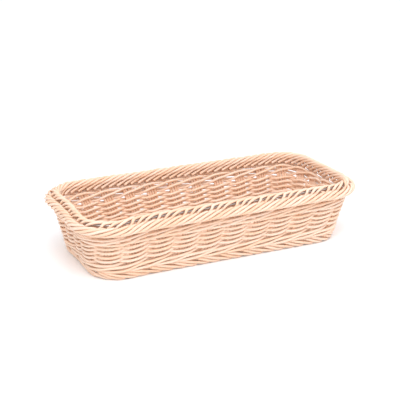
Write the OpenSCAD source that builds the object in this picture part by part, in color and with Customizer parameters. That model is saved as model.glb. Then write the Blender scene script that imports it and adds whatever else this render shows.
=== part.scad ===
// Rectangular woven bread basket of round synthetic rattan strands, with a steel hoop in its rim.
// Millimetres. +X runs along the length, the front wall faces -Y, +Z is up.
// The origin lies under the middle of the basket, on the table it stands on.

/* [Basket] */
// Length over the rim rope
basket_l = 400; // [320:1:520]
// Width over the rim rope
basket_w = 184; // [160:1:300]
// Height to the top of the rim roll
basket_h = 82; // [70:1:120]
// Outward lean of the long walls, in degrees from upright
long_lean = 9.5; // [5:0.1:16]
// Outward lean of the short walls, in degrees from upright
end_lean = 15; // [8:0.1:20]
// Corner radius of the stakes' middle surface at table height
corner_r = 32; // [24:0.5:40]
// Growth of that corner radius from the table to the rope
corner_growth = 6; // [2:0.5:10]

/* [Strands] */
// Thickness of a stake strand
stake_d = 3.2; // [2.4:0.1:3.6]
// Thickness of a weaving strand
weaver_d = 3.4; // [2.6:0.1:4]
// Stake strands side by side in one group
group_strands = 4; // [3:1:5]
// Gap between the stake strands of a group on a straight wall
stake_gap = 0.5; // [0.3:0.1:1.2]
// Play between strands that lie on each other
strand_play = 0.15; // [0.1:0.05:0.3]

/* [Stake groups] */
// Groups along each long wall
long_groups = 9; // [5:2:11]
// How far round the corner the last crossing of a long wall lies
corner_cross = 8; // [0:0.5:10]
// Groups from the last crossing of a long wall to the middle of the next short wall
quarter_groups = 3; // [2:1:3]

/* [Rim] */
// Thickness of the outer rope of the rim
rope_d = 11.2; // [8:0.1:14]
// Thickness of the inner roll of the rim, which wraps the hoop
roll_d = 10.8; // [8:0.1:14]
// How far the rope's middle lies below the roll's middle
rope_drop = 7.2; // [4:0.1:8]
// Thickness of the steel hoop
wire_d = 3; // [2:0.1:4]
// Play of the hoop inside the roll
wire_play = 0.2; // [0.1:0.05:0.4]
// Gap between the rim's pieces and what they sit against
rim_play = 0.3; // [0.2:0.05:0.6]

/* [Weave] */
// Courses of two-strand twining between the two wales
twine_rows = 4; // [2:1:4]
// Gap between the outer strands of a wale
wale_gap = 0.5; // [0.2:0.1:1]
// How far the upper inner strand of a wale lies above its upper outer strand, in gaps between courses
wale_rise = 0.85; // [0:0.05:1]
// Gap between the lower wale and the twining, in gaps between courses
low_gap_step = 1.33; // [1:0.01:1.6]
// Gap between the twining and the upper wale, in gaps between courses
top_gap_step = 0.56; // [0.4:0.01:1.4]
// Clear height between the foot and the lower wale
foot_gap = 3.6; // [1:0.1:8]
// Clear height between the upper wale's outer strands and the rope
under_rope = 3.6; // [1:0.1:6]
// Depth of the flat that the lowest foot strand stands on
foot_flat = 0.35; // [0.2:0.05:0.6]

/* [Base] */
// Clear height under the base strands
base_lift = 1.5; // [0.8:0.1:4]
// Strands that run lengthwise in the base
base_long_count = 30; // [16:1:32]
// Play between the ends of the base strands and the foot
base_end_play = 0.15; // [0.1:0.05:0.4]
// How far round the corner the outermost lengthwise strands meet the foot, in degrees
base_edge_a = 60; // [30:1:75]

/* [Hidden] */
$fn = 24;

strand_colour = "#F3DDC0";
stake_colour = "#EBCDA8";
steel_colour = "#B9B9BC";

// a size to the nearest hundredth, so that pieces of one loop meet exactly
function mm(v) = round(v * 100) / 100;

// Rim heights and offsets, outward from the stakes
roll_z = basket_h - roll_d / 2;
rope_z = roll_z - rope_drop;
steepest = max(long_lean, end_lean);
rope_off = (stake_d / 2 + rim_play + rope_d / 2) / cos(steepest);
rim_spread = sqrt(pow((roll_d + rope_d) / 2 + rim_play, 2) - pow(rope_drop, 2));

// The stakes' middle surface at height z: corner radius, half length and half width,
// and half sizes of the core rectangle that the corner arcs are drawn about
function wall_r(z) = corner_r + corner_growth * z / rope_z;
function wall_x(z) = basket_l / 2 - rope_d / 2 - rope_off - tan(end_lean) * (rope_z - z);
function wall_y(z) = basket_w / 2 - rope_d / 2 - rope_off - tan(long_lean) * (rope_z - z);
function core_x(z) = wall_x(z) - wall_r(z);
function core_y(z) = wall_y(z) - wall_r(z);
rope_r = wall_r(rope_z) + rope_off;
roll_r = rope_r - rim_spread;

// Weavers lie against the stakes on both sides of the wall
weave_off = (stake_d / 2 + weaver_d / 2 + strand_play) / cos(steepest);
foot_z1 = weaver_d / 2 - foot_flat;
foot_z2 = foot_z1 + weaver_d + strand_play;
foot_mid = (foot_z1 + foot_z2) / 2;
low_z = foot_z2 + weaver_d + foot_gap;
top_z = rope_z - rope_d / 2 - under_rope - weaver_d / 2;
wale_pitch = weaver_d + wale_gap;
wale_h = 2 * wale_pitch;
courses = top_z - low_z - 2 * wale_h - (twine_rows + 1) * weaver_d;
course_gap = courses / (low_gap_step + top_gap_step + twine_rows - 1);
twine_step = weaver_d + course_gap;
twine_z0 = low_z + wale_h + weaver_d + low_gap_step * course_gap;

// Stakes run from inside the foot to the underside of the roll
stake_z0 = foot_z1;
stake_z1 = roll_z - roll_d / 2 - rim_play - stake_d / 2 * sin(steepest);
stake_pitch = stake_d + stake_gap;
stake_mid = (group_strands - 1) / 2;

// Places along the walls are measured at half height
half_z = (stake_z0 + rope_z) / 2;
corner_len = wall_r(half_z) * PI / 2;
long_pitch = 2 * (core_x(half_z) + corner_cross) / long_groups;
long_x = [for (i = [0 : long_groups - 1]) (i - (long_groups - 1) / 2) * long_pitch];

// The groups of a quarter share the way round the corner
quarter_pitch = (corner_len - corner_cross + core_y(half_z)) / quarter_groups;
quarter_s = [for (i = [0 : quarter_groups - 1]) (i + 0.5) * quarter_pitch + corner_cross];
corner_a = [for (s = quarter_s) if (s <= corner_len) s / corner_len * 90];
short_y = [for (s = quarter_s) if (s > corner_len) core_y(half_z) - (s - corner_len)];
fan_a = asin((stake_d + strand_play) / (2 * wall_r(stake_z0))) * 2;

// Base strands lie in two layers inside the foot
base_r = wall_r(foot_mid) - weave_off - weaver_d / 2 - base_end_play;
base_z1 = base_lift + stake_d / 2;
base_z2 = base_z1 + stake_d + strand_play;
base_side = core_y(foot_mid) + base_r * sin(base_edge_a) - stake_d / 2;

// Points of the stakes' middle surface at height z, on a long wall, a short wall and a corner
function long_point(x, side, z) = [x * core_x(z) / core_x(half_z), side * wall_y(z), z];
function short_point(y, side, z) = [side * wall_x(z), y * core_y(z) / core_y(half_z), z];
function corner_point(sx, sy, a, z) =
    [sx * (core_x(z) + wall_r(z) * sin(a)), sy * (core_y(z) + wall_r(z) * cos(a)), z];

// a closed loop of round section at about radius about_r from the core rectangle of height at_z
module loop(about_r, at_z, z, d) {
    r = mm(about_r);
    x = mm(core_x(at_z));
    y = mm(core_y(at_z));
    translate([0, 0, z]) {
        for (s = [-1, 1]) {
            translate([-x, s * (y + r), 0])
                rotate([0, 90, 0])
                    cylinder(d = d, h = 2 * x);
            translate([s * (x + r), -y, 0])
                rotate([-90, 0, 0])
                    cylinder(d = d, h = 2 * y);
        }
        for (q = [[1, 1, 0], [-1, 1, 90], [-1, -1, 180], [1, -1, 270]])
            translate([q[0] * x, q[1] * y, 0])
                rotate([0, 0, q[2]])
                    rotate_extrude(angle = 90)
                        translate([r, 0])
                            circle(d = d);
    }
}

// a weaving strand outside (side 1) or inside (side -1) the stakes
module weaver(z, side) {
    color(strand_colour)
        loop(wall_r(z) + side * weave_off, z, z, weaver_d);
}

// one straight stake from point p to point q
module stake(p, q) {
    v = q - p;
    color(stake_colour)
        translate(p)
            rotate([0, acos(v[2] / norm(v)), atan2(v[1], v[0])])
                cylinder(d = stake_d, h = norm(v));
}

// all stakes of a long wall, front (side -1) or back (side 1)
module long_stakes(side) {
    for (x = long_x, k = [0 : group_strands - 1]) {
        at = x + (k - stake_mid) * stake_pitch;
        stake(long_point(at, side, stake_z0), long_point(at, side, stake_z1));
    }
}

// all stakes of a short wall, left (side -1) or right (side 1)
module short_stakes(side) {
    for (y = short_y, m = [-1, 1], k = [0 : group_strands - 1]) {
        at = m * y + (k - stake_mid) * stake_pitch;
        stake(short_point(at, side, stake_z0), short_point(at, side, stake_z1));
    }
}

// the stake groups that fan round one corner
module corner_stakes(sx, sy) {
    for (a = corner_a, k = [0 : group_strands - 1]) {
        turn = a + (k - stake_mid) * fan_a;
        stake(corner_point(sx, sy, turn, stake_z0), corner_point(sx, sy, turn, stake_z1));
    }
}

module rim_wire() {
    color(steel_colour)
        loop(roll_r, rope_z, roll_z, wire_d);
}

module rim_roll() {
    color(strand_colour)
        difference() {
            loop(roll_r, rope_z, roll_z, roll_d);
            loop(roll_r, rope_z, roll_z, wire_d + 2 * wire_play);
        }
}

module rim_rope() {
    color(strand_colour)
        loop(rope_r, rope_z, rope_z, rope_d);
}

// a wale has three strands outside the wall at any place, and two inside
module wale(z, n) {
    if (n == 1)
        weaver(z, 1);
    if (n == 2)
        weaver(z + wale_pitch, 1);
    if (n == 3)
        weaver(z + wale_h, 1);
    if (n == 4)
        weaver(z + wale_pitch + wale_rise * course_gap / 2, -1);
    if (n == 5)
        weaver(z + wale_h + wale_rise * course_gap, -1);
}

// the stakes' lower ends lie round the foot in three courses; the lowest is flattened where it stands
module foot(n) {
    if (n == 1)
        difference() {
            weaver(foot_z1, 1);
            translate([-basket_l, -basket_w, -weaver_d])
                cube([2 * basket_l, 2 * basket_w, weaver_d]);
        }
    if (n == 2)
        weaver(foot_z2, 1);
    if (n == 3)
        weaver(foot_mid, -1);
}

module twine(row, side) {
    if (row <= twine_rows)
        weaver(twine_z0 + (row - 1) * twine_step, side);
}

// strands across the base, under each stake group of the long walls
module base_cross() {
    half = core_y(foot_mid) + base_r;
    color(stake_colour)
        for (x = long_x, k = [0 : group_strands - 1])
            translate([long_point(x + (k - stake_mid) * stake_pitch, 1, foot_mid)[0], -half, base_z2])
                rotate([-90, 0, 0])
                    cylinder(d = stake_d, h = 2 * half);
}

// lengthwise strands of the base, shorter beside the corners
module base_long() {
    color(stake_colour)
        for (k = [0 : base_long_count - 1]) {
            y = (2 * k / (base_long_count - 1) - 1) * base_side;
            past = max(abs(y) + stake_d / 2 - core_y(foot_mid), 0);
            half = core_x(foot_mid) + sqrt(pow(base_r, 2) - pow(past, 2));
            translate([-half, y, base_z1])
                rotate([0, 90, 0])
                    cylinder(d = stake_d, h = 2 * half);
        }
}

rim_wire();
rim_roll();
rim_rope();
wale(top_z - wale_h, 1);  // upper_wale_1
wale(top_z - wale_h, 2);  // upper_wale_2
wale(top_z - wale_h, 3);  // upper_wale_3
wale(top_z - wale_h, 4);  // upper_wale_4
wale(top_z - wale_h, 5);  // upper_wale_5
twine(1, 1);  // twine_1_outer
twine(1, -1);  // twine_1_inner
twine(2, 1);  // twine_2_outer
twine(2, -1);  // twine_2_inner
twine(3, 1);  // twine_3_outer
twine(3, -1);  // twine_3_inner
twine(4, 1);  // twine_4_outer
twine(4, -1);  // twine_4_inner
wale(low_z, 1);  // lower_wale_1
wale(low_z, 2);  // lower_wale_2
wale(low_z, 3);  // lower_wale_3
wale(low_z, 4);  // lower_wale_4
wale(low_z, 5);  // lower_wale_5
foot(1);  // foot_1
foot(2);  // foot_2
foot(3);  // foot_3
long_stakes(-1);  // stakes_front
long_stakes(1);  // stakes_back
short_stakes(-1);  // stakes_left
short_stakes(1);  // stakes_right
corner_stakes(-1, -1);  // stakes_corner_fl
corner_stakes(1, -1);  // stakes_corner_fr
corner_stakes(-1, 1);  // stakes_corner_bl
corner_stakes(1, 1);  // stakes_corner_br
base_cross();
base_long();
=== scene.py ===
"""Looks of a rectangular woven bread basket: round strands of pale synthetic rattan, twined round groups of
stakes, with the stakes' ends laid over a steel hoop and round a rope to make the rim. Sizes are in millimetres
and become metres where a strand is drawn."""
import math
import random

import bpy
from mathutils import Matrix, Vector


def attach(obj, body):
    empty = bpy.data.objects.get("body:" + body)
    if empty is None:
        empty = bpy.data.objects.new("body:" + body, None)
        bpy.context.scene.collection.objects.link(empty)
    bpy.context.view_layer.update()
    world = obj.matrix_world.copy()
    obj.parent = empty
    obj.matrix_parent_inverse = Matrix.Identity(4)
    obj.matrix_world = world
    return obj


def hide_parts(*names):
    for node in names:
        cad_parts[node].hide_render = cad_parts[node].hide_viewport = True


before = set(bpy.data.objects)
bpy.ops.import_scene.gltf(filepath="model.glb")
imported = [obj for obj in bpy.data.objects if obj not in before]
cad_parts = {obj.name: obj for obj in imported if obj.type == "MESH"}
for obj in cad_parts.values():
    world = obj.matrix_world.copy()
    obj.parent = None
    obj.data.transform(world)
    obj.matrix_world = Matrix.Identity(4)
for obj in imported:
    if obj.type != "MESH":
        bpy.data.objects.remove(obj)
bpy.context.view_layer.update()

MM = 0.001
wobble = random.Random(41)

# The basket's walls: the surface through the middle of the stakes
ROPE_Z = 69.4                 # height of the rope's middle
WALL_X, WALL_Y = 186.64, 78.64  # half length and half width at that height
END_LEAN, LONG_LEAN = math.tan(math.radians(15)), math.tan(math.radians(9.5))
CORNER_R, CORNER_GROWTH = 32.0, 6.0  # the corners' radius at the foot, and what it gains up to the rope

# Strands
STAKE_D = 3.5
GROUP = 4                     # stakes in a group
GROUP_MIDDLE = (GROUP - 1) / 2
STAKE_PITCH = 3.7             # between the stakes of a group
CORNER_PITCH = 3.4            # the same on a corner
STAKE_LEAN = 0.24             # how far the stakes lean counter-clockwise for each millimetre of height
STAKE_SWAY = 0.2              # how far a stake may lie off its place
WEAVER_D = 3.5
WEAVE_OUT = 3.5               # a weaver's middle from the stakes' middle
BEVEL_STEPS = 3               # these give a strand ten sides
STEPS = 4                     # points from one knot of a strand to the next
GRAIN_START = 500.0           # each strand's grain starts somewhere in this length

# Rim: middles and radii of the paths that the stake ends take, outward from the stakes and up
ROLL_P, ROLL_Z, ROLL_RUN = -0.95, 76.6, 3.8
ROPE_P, ROPE_RUN, ROPE_TOP_RUN = 7.76, 4.0, 5.4  # the rope is taller above its middle

# Places round the basket are lengths at half height, counter-clockwise from the middle of the front wall
HALF_Z = 35.4
HALF_R = CORNER_R + CORNER_GROWTH * HALF_Z / ROPE_Z
LONG_RUN = WALL_X - END_LEAN * (ROPE_Z - HALF_Z) - HALF_R
SHORT_RUN = WALL_Y - LONG_LEAN * (ROPE_Z - HALF_Z) - HALF_R
CORNER_RUN = HALF_R * math.pi / 2
QUARTER = LONG_RUN + CORNER_RUN + SHORT_RUN
AROUND = 4 * QUARTER

# Stake groups: nine on a long wall, two on each corner and two on a short wall
LONG_GROUPS, TURN_GROUPS = 9, 3  # a quarter's turn has two on the corner and one on the short wall
LONG_HALF = LONG_GROUPS // 2
CORNER_CROSS = 8.0            # the last crossing of a long wall lies this far round the corner
LONG_PITCH = 2 * (LONG_RUN + CORNER_CROSS) / LONG_GROUPS
TURN_PITCH = (CORNER_RUN - CORNER_CROSS + SHORT_RUN) / TURN_GROUPS
quarter = [i * LONG_PITCH for i in range(LONG_HALF + 1)]
quarter += [LONG_RUN + CORNER_CROSS + (i + 0.5) * TURN_PITCH for i in range(TURN_GROUPS)]
groups = quarter + [2 * QUARTER - s for s in reversed(quarter[1:])]
groups += [2 * QUARTER] + [2 * QUARTER + s for s in quarter[1:]] + [AROUND - s for s in reversed(quarter[1:])]
# the front wall's groups have crept a little to the right, most in its middle
CREEP, CREEP_REACH = 5.0, 160.0
creep = [CREEP * (1 - (min(s, AROUND - s) / CREEP_REACH) ** 2) for s in groups]
groups = [s + max(c, 0.0) for s, c in zip(groups, creep)]
# and those at the left of the back wall towards its middle
BACK_CREEP = {17: 1.7, 18: 5.0, 19: 7.5, 20: 5.0, 21: 2.0}
for g, shift in BACK_CREEP.items():
    groups[g] -= shift
COUNT = len(groups)


def ease(t):
    """A soft step from 0 to 1."""
    t = min(max(t, 0.0), 1.0)
    return t * t * (3 - 2 * t)


# The front left corner stands out and hangs a little, as a basket does that has been lifted by it
PULL_SHARE = 0.65             # how far round the corner, from the front wall, it is pulled most
PULL_AT = AROUND - LONG_RUN - PULL_SHARE * CORNER_RUN
PULL_REACH, PULL_OUT, PULL_DOWN = 75.0, 4.5, 2.0  # how far along the walls it shows, and the pull out and down


def wall_point(u, p, z):
    """The point p outside the stakes' middle surface at place u and height z."""
    u %= AROUND
    pull = ease(1 - abs(u - PULL_AT) / PULL_REACH)
    p += PULL_OUT * pull
    z -= PULL_DOWN * pull * z / ROPE_Z
    low = min(z, ROPE_Z)
    r = CORNER_R + CORNER_GROWTH * low / ROPE_Z
    a = WALL_X - END_LEAN * (ROPE_Z - low)
    b = WALL_Y - LONG_LEAN * (ROPE_Z - low)
    turn = int(u // QUARTER)
    v = (u, 2 * QUARTER - u, u - 2 * QUARTER, AROUND - u)[turn]
    if v <= LONG_RUN:
        x, y = v * (a - r) / LONG_RUN, -(b + p)
    elif v <= LONG_RUN + CORNER_RUN:
        way = (v - LONG_RUN) / CORNER_RUN * math.pi / 2
        x, y = a - r + (r + p) * math.sin(way), -(b - r + (r + p) * math.cos(way))
    else:
        x, y = a + p, -(QUARTER - v) * (b - r) / SHORT_RUN
    sx, sy = ((1, 1), (1, -1), (-1, -1), (-1, 1))[turn]
    return Vector((sx * x, sy * y, z)) * MM


def group_place(g):
    """The place of stake group g, which may lie between two groups."""
    low = math.floor(g)
    start = groups[low % COUNT] + AROUND * (low // COUNT)
    end = groups[(low + 1) % COUNT] + AROUND * ((low + 1) // COUNT)
    return start + (end - start) * (g - low)


def leaning(g, z):
    """The place of group g at height z."""
    return group_place(g) + STAKE_LEAN * (z - HALF_Z)


def smooth_path(knots):
    """Points on a smooth curve through knots, each a tuple of numbers."""
    path = []
    last = len(knots) - 1
    for i in range(last):
        a, b, c, d = knots[max(i - 1, 0)], knots[i], knots[i + 1], knots[min(i + 2, last)]
        for step in range(STEPS):
            t = step / STEPS
            path.append(tuple(
                0.5 * (2 * q + (r - p) * t + (2 * p - 5 * q + 4 * r - s) * t * t + (3 * q - p - 3 * r + s) * t ** 3)
                for p, q, r, s in zip(a, b, c, d)))
    path.append(knots[-1])
    return path


def unevenness(size):
    """A soft irregular wave round the basket, as hand weaving leaves it."""
    heights = [wobble.uniform(-size, size) for _ in range(COUNT)]

    def at(g):
        low = math.floor(g)
        a, b = heights[low % COUNT], heights[(low + 1) % COUNT]
        return a + (b - a) * ease(g - low)
    return at


def draw_strands(name, strands, diameter, closed, nodes, material):
    """One piece of round strands along lists of points: bevelled curves made into meshes and joined. Each strand
    keeps its own shade in an attribute, and its UV map runs along it and round it in millimetres."""
    bpy.ops.object.select_all(action="DESELECT")
    drawn = []
    for points in strands:
        curve = bpy.data.curves.new(name, "CURVE")
        curve.dimensions = "3D"
        curve.bevel_depth = diameter / 2 * MM
        curve.bevel_resolution = BEVEL_STEPS
        curve.use_fill_caps = not closed
        spline = curve.splines.new("POLY")
        spline.points.add(len(points) - 1)
        spline.points.foreach_set("co", [c for q in points for c in (*q, 1.0)])
        spline.use_cyclic_u = closed
        strand = bpy.data.objects.new(name, curve)
        bpy.context.collection.objects.link(strand)
        strand.select_set(True)
        drawn.append((strand, points))
    bpy.context.view_layer.objects.active = drawn[0][0]
    bpy.ops.object.convert(target="MESH")
    for strand, points in drawn:
        mesh = strand.data
        shade = mesh.attributes.new("shade", "FLOAT", "POINT")
        shade.data.foreach_set("value", [wobble.random()] * len(mesh.vertices))
        length = sum((q - p).length for p, q in zip(points, points[1:])) / MM
        start = wobble.uniform(0, GRAIN_START)
        girth = math.pi * diameter
        uv = mesh.uv_layers.active.data
        flat = [0.0] * (2 * len(uv))
        uv.foreach_get("uv", flat)
        flat[0::2] = [start + length * v for v in flat[0::2]]
        flat[1::2] = [girth * v for v in flat[1::2]]
        uv.foreach_set("uv", flat)
    bpy.ops.object.join()
    piece = bpy.context.view_layer.objects.active
    piece.name = piece.data.name = name
    piece.data.materials.clear()
    piece.data.materials.append(material)
    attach(piece, "root")
    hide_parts(*nodes)


def srgb(code):
    """A hex colour as linear red, green, blue and alpha."""
    parts = [int(code[i:i + 2], 16) / 255 for i in (1, 3, 5)]
    return tuple(c / 12.92 if c <= 0.04045 else ((c + 0.055) / 1.055) ** 2.4 for c in parts) + (1.0,)


def add(tree, kind, inputs=None, **settings):
    """A node with its settings and its inputs, which are values or other nodes' outputs."""
    made = tree.nodes.new(kind)
    for key, value in settings.items():
        setattr(made, key, value)
    for key, value in (inputs or {}).items():
        if isinstance(value, bpy.types.NodeSocket):
            tree.links.new(value, made.inputs[key])
        else:
            made.inputs[key].default_value = value
    return made


def new_material(name):
    """An empty material and its node tree."""
    material = bpy.data.materials.new(name)
    material.use_nodes = True
    material.node_tree.nodes.clear()
    return material, material.node_tree


def rattan(name, pale, deep):
    """Extruded polypropylene rattan: a satin cream strand with fine lengthwise grain, and each strand a little paler
    or warmer than the next."""
    material, tree = new_material(name)
    shade = add(tree, "ShaderNodeAttribute", attribute_name="shade")
    place = add(tree, "ShaderNodeUVMap")
    # grain 0.7 mm wide and 25 mm long, coarser than the real one so that it shows
    along = add(tree, "ShaderNodeVectorMath", {0: place.outputs["UV"], 1: (1 / 25, 1 / 0.7, 1)}, operation="MULTIPLY")
    grain = add(tree, "ShaderNodeTexNoise", {"Vector": along.outputs[0], "Scale": 1.0, "Detail": 2.0, "Roughness": 0.6})
    # clouds of colour 40 mm long, from the batch mix
    far = add(tree, "ShaderNodeVectorMath", {0: place.outputs["UV"], 1: (1 / 40, 1 / 12, 1)}, operation="MULTIPLY")
    cloud = add(tree, "ShaderNodeTexNoise", {"Vector": far.outputs[0], "Scale": 1.0, "Detail": 1.0})
    # half from the strand's own shade and half from the clouds
    own = add(tree, "ShaderNodeMath", {0: shade.outputs["Fac"], 1: 0.5}, operation="MULTIPLY")
    depth = add(tree, "ShaderNodeMath", {0: cloud.outputs["Fac"], 1: 0.5, 2: own.outputs[0]}, operation="MULTIPLY_ADD")
    tone = add(tree, "ShaderNodeMix", {"Factor": depth.outputs[0], "A": srgb(pale), "B": srgb(deep)}, data_type="RGBA")
    streak = add(tree, "ShaderNodeMapRange", {"Value": grain.outputs["Fac"], "From Min": 0.3, "From Max": 0.7,
                                              "To Min": 0.93, "To Max": 1.03})
    colour = add(tree, "ShaderNodeVectorMath", {0: tone.outputs["Result"], "Scale": streak.outputs["Result"]},
                 operation="SCALE")
    rough = add(tree, "ShaderNodeMapRange", {"Value": grain.outputs["Fac"], "To Min": 0.38, "To Max": 0.52})
    bump = add(tree, "ShaderNodeBump", {"Height": grain.outputs["Fac"], "Strength": 0.25, "Distance": 0.0002})
    shader = add(tree, "ShaderNodeBsdfPrincipled", {
        "Base Color": colour.outputs[0], "Roughness": rough.outputs["Result"], "Normal": bump.outputs["Normal"],
        "IOR": 1.49})
    add(tree, "ShaderNodeOutputMaterial", {"Surface": shader.outputs["BSDF"]})
    return material


def drawn_steel():
    """Bright drawn steel wire: grey metal with fine scratches along it from the die."""
    material, tree = new_material("drawn_steel_wire")
    place = add(tree, "ShaderNodeUVMap")
    # scratches 0.5 mm wide and 30 mm long, coarser than the real ones so that they show
    along = add(tree, "ShaderNodeVectorMath", {0: place.outputs["UV"], 1: (1 / 30, 1 / 0.5, 1)}, operation="MULTIPLY")
    scratch = add(tree, "ShaderNodeTexNoise", {"Vector": along.outputs[0], "Scale": 1.0, "Detail": 3.0})
    tone = add(tree, "ShaderNodeMix", {"Factor": scratch.outputs["Fac"], "A": srgb("#ADA5A2"), "B": srgb("#DAD3CF")},
               data_type="RGBA")
    rough = add(tree, "ShaderNodeMapRange", {"Value": scratch.outputs["Fac"], "To Min": 0.25, "To Max": 0.45})
    shader = add(tree, "ShaderNodeBsdfPrincipled", {
        "Base Color": tone.outputs["Result"], "Roughness": rough.outputs["Result"], "Metallic": 1.0})
    add(tree, "ShaderNodeOutputMaterial", {"Surface": shader.outputs["BSDF"]})
    return material


weaver_rattan = rattan("satin_rattan_weaver", "#F9DFCB", "#F3C7A2")
stake_rattan = rattan("satin_rattan_stake", "#F9DDC8", "#F1C39E")

# Weaving strands: each passes the stake groups along knots that name a group place, a side of the wall, where 1 is
# outside and -1 inside, and a height
TWINE_UNEVEN, WALE_UNEVEN = 0.35, 0.6  # how far the strands lie above or below their courses
BULGE = 0.12                  # and how far in or out


def woven(near_group, uneven):
    """A closed strand once round the basket, through the knots that near_group gives for each group."""
    rise = unevenness(uneven)
    bulge = unevenness(BULGE)
    # the knots before the first group and after the last only shape the join
    knots = [knot for g in range(-1, COUNT + 2) for knot in near_group(g)]
    each = len(near_group(0)) * STEPS
    path = smooth_path(knots)[each:each * (COUNT + 1)]
    return [wall_point(leaning(g, z), p * (WEAVE_OUT + bulge(g)), z + rise(g)) for g, p, z in path]


# Twined courses: two strands change places between each two groups. Outside, a strand sags and then climbs over its
# partner; inside, it comes down again.
OUTSIDE = ((-0.5, 0.0, -0.95), (-0.25, 0.85, -1.4), (0.0, 1.0, -1.2), (0.25, 0.95, 0.1))
INSIDE = ((-0.5, 0.0, 2.15), (-0.25, -0.9, 2.4), (0.0, -1.0, 1.1), (0.25, -0.9, -0.4))
TWINE_ROWS = (26.9, 33.2, 39.4, 45.7)  # the courses' heights


def twine_strand(row_z, first):
    """One of the two strands of a course."""
    def near_group(g):
        return [(g + ahead, p, row_z + z) for ahead, p, z in (OUTSIDE if (g + first) % 2 == 0 else INSIDE)]
    return woven(near_group, TWINE_UNEVEN)


for row, z in enumerate(TWINE_ROWS, 1):
    for first, side in enumerate(("outer", "inner")):
        draw_strands(f"twine_{row}_{side}_strand", [twine_strand(z, first)], WEAVER_D, True,
                     [f"twine_{row}_{side}"], weaver_rattan)

# Wales: each of five strands climbs outside three groups, over the strand that comes out next, and comes down inside
# the next two. The last number is how much further up it lies where the wale is loose, which opens gaps between the
# groups of the front wall.
WALE = (((-0.5, 0.0, 0.3, 0.2), (-0.25, 0.5, -0.3, 0.0), (0.0, 1.0, 0.0, 0.0), (0.25, 1.05, 0.6, -0.4)),
        ((-0.5, 1.1, 1.4, -0.9), (-0.25, 1.2, 2.6, -0.9), (0.0, 1.1, 3.9, 0.0), (0.25, 1.1, 4.9, 0.7)),
        ((-0.5, 1.1, 5.6, 0.8), (-0.25, 1.1, 6.5, 0.5), (0.0, 1.0, 7.8, 0.2), (0.25, 0.7, 9.2, 0.0)),
        ((-0.5, 0.0, 10.8, 0.0), (-0.25, -0.75, 12.2, 0.0), (0.0, -1.0, 12.4, -0.6), (0.25, -1.05, 11.4, -2.6)),
        ((-0.5, -1.1, 9.4, -2.5), (-0.25, -1.1, 7.4, -1.2), (0.0, -1.0, 5.9, -0.6), (0.25, -0.75, 3.4, 0.0)))
WALE_LOWS = {"lower_wale": 11.7, "upper_wale": 50.6}  # the height of a strand where it has just come out
LOOSE_GROUPS = 7              # the wales are loose this many groups either way from the middle of the front wall


def wale_strand(low_z, first):
    """One of the five strands of a wale."""
    def near_group(g):
        loose = (g + LOOSE_GROUPS) % COUNT <= 2 * LOOSE_GROUPS
        return [(g + ahead, p, low_z + z + up * loose) for ahead, p, z, up in WALE[(g + first) % len(WALE)]]
    return woven(near_group, WALE_UNEVEN)


for wale, low_z in WALE_LOWS.items():
    for first in range(len(WALE)):
        node = f"{wale}_{first + 1}"
        draw_strands(f"{node}_strand", [wale_strand(low_z, first)], WEAVER_D, True, [node],
                     weaver_rattan)

# Stakes: four to a group. At the top three of them turn out under the hoop, go up round the rope, down into the valley
# and over the hoop as a fan, and end low on the inner face, counter-clockwise all the way; the fourth fills the rope.
# The lower ends of two of them come out under the lower wale and are laid round the foot, counter-clockwise too; the
# other two end inside.
FOOT_END_Z, FOOT_BEND_Z = 4.0, 12.0
STAKE_HEIGHTS = (20.0, 40.0, 54.0, 61.5)  # knots of the straight part
STRAY = 0.02                  # how far a rim end may lie off its place, in groups
# knots of the laid ends, from the tip: groups counter-clockwise of the stake, outward and up
FOOT_ENDS = {2: ((1.70, 1.5, 1.9), (1.49, 3.0, 2.2), (1.24, 3.6, 4.0), (0.94, 3.6, 7.0), (0.79, 3.0, 8.5),
                 (0.66, 1.5, 9.6), (0.35, 0.4, 10.4)),
             3: ((2.26, 1.2, 1.9), (2.09, 2.6, 2.1), (1.84, 3.4, 3.5), (1.56, 3.7, 5.5), (1.39, 3.8, 7.0),
                 (1.19, 3.6, 8.5), (1.04, 3.0, 9.6), (0.91, 1.5, 10.2), (0.5, 0.4, 10.6))}


def ring(p, z, run, degrees, rise=None):
    """The place, outward and up, on a round path, which may be taller than it is wide."""
    way = math.radians(degrees)
    return p + run * math.cos(way), z + (rise or run) * math.sin(way)


FILLER = 1                    # which strand of a group fills the rope
FILLER_WAY = [(0.35, 2.5, 63.8)] + [(ahead, ROPE_P, ROPE_Z) for ahead in (0.7, 1.0, 1.4, 1.8)]
RIM_ORDER = {0: -1, 2: 0, 3: 1}  # the other three: behind, in the middle and ahead
RIM_GROUPS = 3                # their fan on the hoop lies this many groups further on
THIRD = 1 / 3                 # they lie this far apart, in groups
# knots on their way: groups along, how far apart the three lie there, outward and up. First out under the hoop,
UNDER_HOOP = ((0.30, 0.20, 2.0, 63.6), (0.62, 0.28, 4.0, 64.0))
# then, counted from the fan, up round the rope,
RIM_WAY = [(ahead, THIRD, *ring(ROPE_P, ROPE_Z, ROPE_RUN, degrees, ROPE_TOP_RUN if degrees > 0 else ROPE_RUN))
           for degrees, ahead in ((-90, -2.12), (-45, -1.86), (0, -1.61), (45, -1.33), (90, -1.07))]
# down into the valley and up out of it, bunched at the bottom,
RIM_WAY += [(-0.97, 0.30, 5.6, 74.4), (-0.89, 0.27, 4.1, 73.0), (-0.82, 0.26, 3.3, 75.0),
            (-0.75, 0.28, *ring(ROLL_P, ROLL_Z, ROLL_RUN + 0.1, 12))]
# over the hoop and down the inner face
RIM_WAY += [(ahead, THIRD, *ring(ROLL_P, ROLL_Z, ROLL_RUN, degrees))
            for degrees, ahead in ((55, -0.64), (90, -0.46), (135, -0.20), (180, 0.05), (215, 0.26))]
RIM_WAY += [(0.48, THIRD, -4.05, 70.7), (0.68, THIRD, -3.7, 67.4)]


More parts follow.
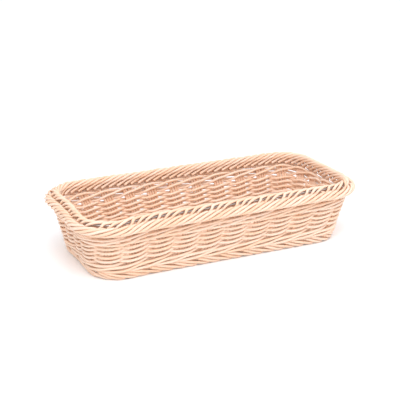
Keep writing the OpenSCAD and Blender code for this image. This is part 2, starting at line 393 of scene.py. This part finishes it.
def stake_strand(g, k):
    """Strand k of group g. Strand 0 is the most clockwise of the four."""
    home = groups[g] % (2 * QUARTER)
    on_corner = LONG_RUN < min(home, 2 * QUARTER - home) < LONG_RUN + CORNER_RUN
    beside = (k - GROUP_MIDDLE) * (CORNER_PITCH if on_corner else STAKE_PITCH)
    beside += wobble.uniform(-STAKE_SWAY, STAKE_SWAY)
    knots = [(leaning(g + ahead, z), p, z) for ahead, p, z in FOOT_ENDS.get(k, ())]
    low_z = FOOT_BEND_Z if knots else FOOT_END_Z
    knots += [(leaning(g, z) + beside, 0.0, z) for z in (low_z, *STAKE_HEIGHTS)]
    lift = wobble.uniform(-STAKE_SWAY, STAKE_SWAY)
    stray = wobble.uniform(-STRAY, STRAY)
    if k == FILLER:
        way = FILLER_WAY
    else:
        order = RIM_ORDER[k]
        way = [(ahead + apart * order, p, z) for ahead, apart, p, z in UNDER_HOOP]
        way += [(RIM_GROUPS + ahead + apart * order, p, z) for ahead, apart, p, z in RIM_WAY]
    knots += [(group_place(g + ahead + stray), p, z + lift) for ahead, p, z in way]
    return [wall_point(*q) for q in smooth_path(knots)]


# each wall's groups, counted from the middle of the front wall, and the nodes that its stakes replace
walls = {
    "front": (range(-LONG_HALF, LONG_HALF + 1), ["stakes_front"]),
    "right": (range(5, 11), ["stakes_right", "stakes_corner_fr", "stakes_corner_br"]),
    "back": (range(11, 20), ["stakes_back"]),
    "left": (range(20, 26), ["stakes_left", "stakes_corner_bl", "stakes_corner_fl"]),
}
laid_ends = ["rim_roll", "rim_rope", "foot_1", "foot_2", "foot_3"]
for wall, (members, nodes) in walls.items():
    strands = [stake_strand(g % COUNT, k) for g in members for k in range(GROUP)]
    draw_strands(f"stakes_and_rim_{wall}", strands, STAKE_D, False, nodes + laid_ends, stake_rattan)

# Base: lengthwise strands pass over and under groups of cross strands, and both reach the stakes all round
BASE_Z = 5.2
BASE_SIDE = 64.0              # the outermost lengthwise strands from the middle
BASE_COUNT = 30
CROSS_INSET, LONG_INSET = 2.0, 3.5  # how far inside the stakes' middle they end
BASE_OVER = 0.8 * STAKE_D     # how far a lengthwise strand goes over or under a group
OVER_HALF = 7.0               # and how far it stays there either way from the group's middle
CROSS_STEPS = 12
base_a = WALL_X - END_LEAN * (ROPE_Z - BASE_Z)
base_r = CORNER_R + CORNER_GROWTH * BASE_Z / ROPE_Z
squeeze = (base_a - base_r) / LONG_RUN  # lengths on the base to those at half height
cross_x = [i * LONG_PITCH * squeeze for i in range(-LONG_HALF, LONG_HALF + 1)]
cross = []
for x in cross_x:
    for k in range(GROUP):
        at = x + (k - GROUP_MIDDLE) * STAKE_PITCH * squeeze
        sway = wobble.uniform(-STAKE_SWAY, STAKE_SWAY)
        near, far = (wall_point(u, -CROSS_INSET, BASE_Z).y / MM for u in (at / squeeze, 2 * QUARTER - at / squeeze))
        cross.append([Vector((at + sway * math.sin(s), near + (far - near) * s / CROSS_STEPS, BASE_Z)) * MM
                      for s in range(CROSS_STEPS + 1)])
draw_strands("base_cross_strands", cross, STAKE_D, False, ["base_cross"], stake_rattan)

end_run = int(2 * (QUARTER - LONG_RUN))
left_end, right_end = ([wall_point(start + s, -LONG_INSET, BASE_Z) / MM for s in range(end_run + 1)]
                       for start in (2 * QUARTER + LONG_RUN, LONG_RUN))
lengthwise = []
for k in range(BASE_COUNT):
    y = (2 * k / (BASE_COUNT - 1) - 1) * BASE_SIDE
    left, right = (min(end, key=lambda q: abs(q.y - y)).x for end in (left_end, right_end))
    knots = [(left, BASE_Z)]
    for i, x in enumerate(cross_x):
        z = BASE_Z + (BASE_OVER if (i + k) % 2 else -BASE_OVER)
        knots += [(x - OVER_HALF, z), (x + OVER_HALF, z)]
    knots.append((right, BASE_Z))
    lengthwise.append([Vector((x, y, z)) * MM for x, z in smooth_path(knots)])
draw_strands("base_long_strands", lengthwise, STAKE_D, False, ["base_long"], stake_rattan)

# Hoop: it follows the corner that stands out
HOOP_D, HOOP_STEPS = 3.0, 300
hoop = [wall_point(AROUND * i / HOOP_STEPS, ROLL_P, ROLL_Z) for i in range(HOOP_STEPS)]
draw_strands("rim_hoop", [hoop], HOOP_D, True, ["rim_wire"], drawn_steel())

# Floor: plain and pale
FLOOR_SIZE = 16               # metres
bpy.ops.object.select_all(action="DESELECT")
bpy.ops.mesh.primitive_plane_add(size=FLOOR_SIZE)
floor = bpy.context.object
floor.name = "floor"
paint, tree = new_material("pale_floor_paint")
shader = add(tree, "ShaderNodeBsdfPrincipled", {"Base Color": srgb("#FAF9F8"), "Roughness": 0.9})
add(tree, "ShaderNodeOutputMaterial", {"Surface": shader.outputs["BSDF"]})
floor.data.materials.append(paint)

# Soft studio light, a little cool: a bright room, brightest overhead, and three large panels
LIGHT_TINT = srgb("#F7FAFF")
PANELS = {                    # place and size in metres, and watts
    "key_panel": ((-0.55, -1.1, 1.65), 1.8, 25),
    "fill_panel": ((1.3, -0.6, 1.0), 1.0, 4),
    "top_panel": ((-0.2, -0.75, 1.7), 1.3, 1),
}
PANEL_AIM = Vector((0, 0, 0.04))
scene = bpy.context.scene
world = bpy.data.worlds.new("studio")
scene.world = world
world.use_nodes = True
tree = world.node_tree
tree.nodes.clear()
toward = add(tree, "ShaderNodeTexCoord")
height = add(tree, "ShaderNodeSeparateXYZ", {"Vector": toward.outputs["Generated"]})
glow = add(tree, "ShaderNodeMapRange", {"Value": height.outputs["Z"], "To Min": 0.5, "To Max": 1.32})
ceiling = add(tree, "ShaderNodeBackground", {"Color": LIGHT_TINT, "Strength": glow.outputs["Result"]})
add(tree, "ShaderNodeOutputWorld", {"Surface": ceiling.outputs["Background"]})
for name, (place, size, watts) in PANELS.items():
    panel = bpy.data.lights.new(name, "AREA")
    panel.size = size
    panel.energy = watts
    panel.color = LIGHT_TINT[:3]
    lamp = bpy.data.objects.new(name, panel)
    scene.collection.objects.link(lamp)
    lamp.location = place
    lamp.rotation_euler = (PANEL_AIM - Vector(place)).to_track_quat("-Z", "Y").to_euler()

# Camera at the photograph's angle
FRAME_PX, LENS_PX = 400, 1200.0  # the frame's width and the lens's length in pixels
AZ, EL, ROLL = (math.radians(d) for d in (-28.158, 19.238, 0.983))  # how far it is turned, raised and tilted
AIM, FAR = Vector((34.274, 71.775, 30.0)) * MM, 1646.8 * MM  # the point it looks at, and how far off it stands
back = Vector((math.sin(AZ) * math.cos(EL), -math.cos(AZ) * math.cos(EL), math.sin(EL)))
right = Vector((math.cos(AZ), math.sin(AZ), 0.0))
up = back.cross(right)
right, up = math.cos(ROLL) * right + math.sin(ROLL) * up, math.cos(ROLL) * up - math.sin(ROLL) * right
lens = bpy.data.cameras.new("photo_camera")
lens.sensor_width = 36.0
lens.lens = LENS_PX / FRAME_PX * lens.sensor_width
camera = bpy.data.objects.new("photo_camera", lens)
scene.collection.objects.link(camera)
camera.matrix_world = Matrix.Translation(AIM + back * FAR) @ Matrix((right, up, back)).transposed().to_4x4()
scene.camera = camera
scene.view_settings.view_transform = "Standard"
